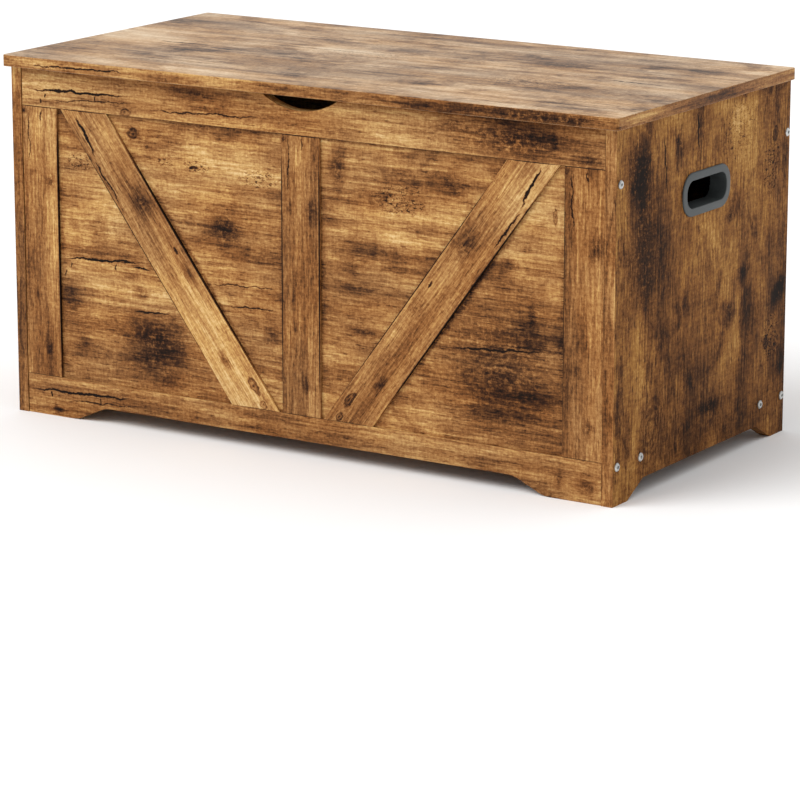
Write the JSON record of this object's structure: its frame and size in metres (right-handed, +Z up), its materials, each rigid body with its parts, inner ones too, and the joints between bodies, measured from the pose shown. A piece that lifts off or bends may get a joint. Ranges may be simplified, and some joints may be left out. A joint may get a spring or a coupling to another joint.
{
  "type": "toy chest",
  "caption": "Wooden toy chest with a barn-door front of applied strips, side grip holes and a hinged lid held by gas struts.",
  "frame": {"origin": "on the floor, under the middle of the shut chest's bounding box", "axes": "+X to the right seen from the front, +Y to the back where the hinges are, +Z up"},
  "size_m": [0.9, 0.45, 0.468],
  "materials": {
    "board_laminate": "rustic melamine laminate, low sheen",
    "lid_laminate": "rustic melamine laminate, low sheen",
    "front_laminate": "rustic melamine laminate, low sheen",
    "strip_laminate": "rustic melamine laminate, low sheen",
    "grip_plastic": "fine moulded texture",
    "zinc_plated_steel": "zinc plated",
    "nickel_plated_steel": "dark nickel plated pressing",
    "bracket_steel": "black painted pressing",
    "black_painted_tube": "gloss black paint",
    "chrome_rod": "hard chrome",
    "black_nylon": "moulded",
    "beech": "raw, fluted",
    "felt": "translucent soft bumper"
  },
  "bodies": {
    "carcass": {"back_panel": "board_laminate", "barrel_nuts_left": "zinc_plated_steel", "barrel_nuts_right": "zinc_plated_steel", "bottom_panel": "board_laminate", "dowels_left": "beech", "dowels_right": "beech", "front_bottom_rail": "strip_laminate", "front_brace_left": "strip_laminate", "front_brace_right": "strip_laminate", "front_panel": "front_laminate", "front_stile_center": "strip_laminate", "front_stile_left": "strip_laminate", "front_stile_right": "strip_laminate", "front_top_rail": "strip_laminate", "grip_inner_ring_left": "grip_plastic", "grip_inner_ring_right": "grip_plastic", "grip_insert_left": "grip_plastic", "grip_insert_right": "grip_plastic", "hinge_adjust_screws": "zinc_plated_steel", "hinge_arm_left": "nickel_plated_steel", "hinge_arm_pins": "zinc_plated_steel", "hinge_arm_right": "nickel_plated_steel", "hinge_plate_left": "nickel_plated_steel", "hinge_plate_right": "nickel_plated_steel", "hinge_plate_screws": "zinc_plated_steel", "lid_bumpers": "felt", "panel_bolts_left": "zinc_plated_steel", "panel_bolts_right": "zinc_plated_steel", "side_bracket_left": "bracket_steel", "side_bracket_right": "bracket_steel", "side_bracket_screws": "zinc_plated_steel", "side_panel_left": "board_laminate", "side_panel_right": "board_laminate"},
    "lid": {"lid": "lid_laminate", "hinge_cup_left": "nickel_plated_steel", "hinge_cup_right": "nickel_plated_steel", "hinge_cup_pins": "zinc_plated_steel", "hinge_cup_screws": "zinc_plated_steel", "lid_bracket_left": "bracket_steel", "lid_bracket_right": "bracket_steel", "lid_bracket_screws": "zinc_plated_steel"},
    "strut_tube_left": {"strut_tube_left": "black_painted_tube", "strut_base_end_left": "black_nylon"},
    "strut_rod_left": {"strut_rod_left": "chrome_rod", "strut_rod_end_left": "black_nylon"},
    "hinge_link_left": {"hinge_link_left": "nickel_plated_steel"},
    "strut_tube_right": {"strut_tube_right": "black_painted_tube", "strut_base_end_right": "black_nylon"},
    "strut_rod_right": {"strut_rod_right": "chrome_rod", "strut_rod_end_right": "black_nylon"},
    "hinge_link_right": {"hinge_link_right": "nickel_plated_steel"}
  },
  "joints": [
    {"name": "lid_hinge", "type": "hinge", "parent": "carcass", "child": "lid", "pos_m": [0, 0.2225, 0.462], "axis": [-1, 0, 0], "range_deg": [0, 85]},
    {"name": "strut_turn_left", "type": "hinge", "parent": "carcass", "child": "strut_tube_left", "pos_m": [-0.4145, 0.047, 0.3], "axis": [1, 0, 0], "range_deg": [0, 6.6]},
    {"name": "strut_slide_left", "type": "slide", "parent": "strut_tube_left", "child": "strut_rod_left", "axis": [0, 0.6499, 0.76], "range_m": [0, 0.0806]},
    {"name": "hinge_link_turn_left", "type": "hinge", "parent": "carcass", "child": "hinge_link_left", "pos_m": [-0.23, 0.2029, 0.4581], "axis": [1, 0, 0], "range_deg": [0, 45.2]},
    {"name": "strut_turn_right", "type": "hinge", "parent": "carcass", "child": "strut_tube_right", "pos_m": [0.4145, 0.047, 0.3], "axis": [1, 0, 0], "range_deg": [0, 6.6]},
    {"name": "strut_slide_right", "type": "slide", "parent": "strut_tube_right", "child": "strut_rod_right", "axis": [0, 0.6499, 0.76], "range_m": [0, 0.0806]},
    {"name": "hinge_link_turn_right", "type": "hinge", "parent": "carcass", "child": "hinge_link_right", "pos_m": [0.23, 0.2029, 0.4581], "axis": [1, 0, 0], "range_deg": [0, 45.2]}
  ],
  "couplings": [
    {"joint": "strut_turn_left", "follows": "lid_hinge", "ratio": 0.076678},
    {"joint": "strut_slide_left", "follows": "lid_hinge", "m_per_rad": 0.054231},
    {"joint": "hinge_link_turn_left", "follows": "lid_hinge", "ratio": 0.52959},
    {"joint": "strut_turn_right", "follows": "lid_hinge", "ratio": 0.076678},
    {"joint": "strut_slide_right", "follows": "lid_hinge", "m_per_rad": 0.054231},
    {"joint": "hinge_link_turn_right", "follows": "lid_hinge", "ratio": 0.52959}
  ]
}
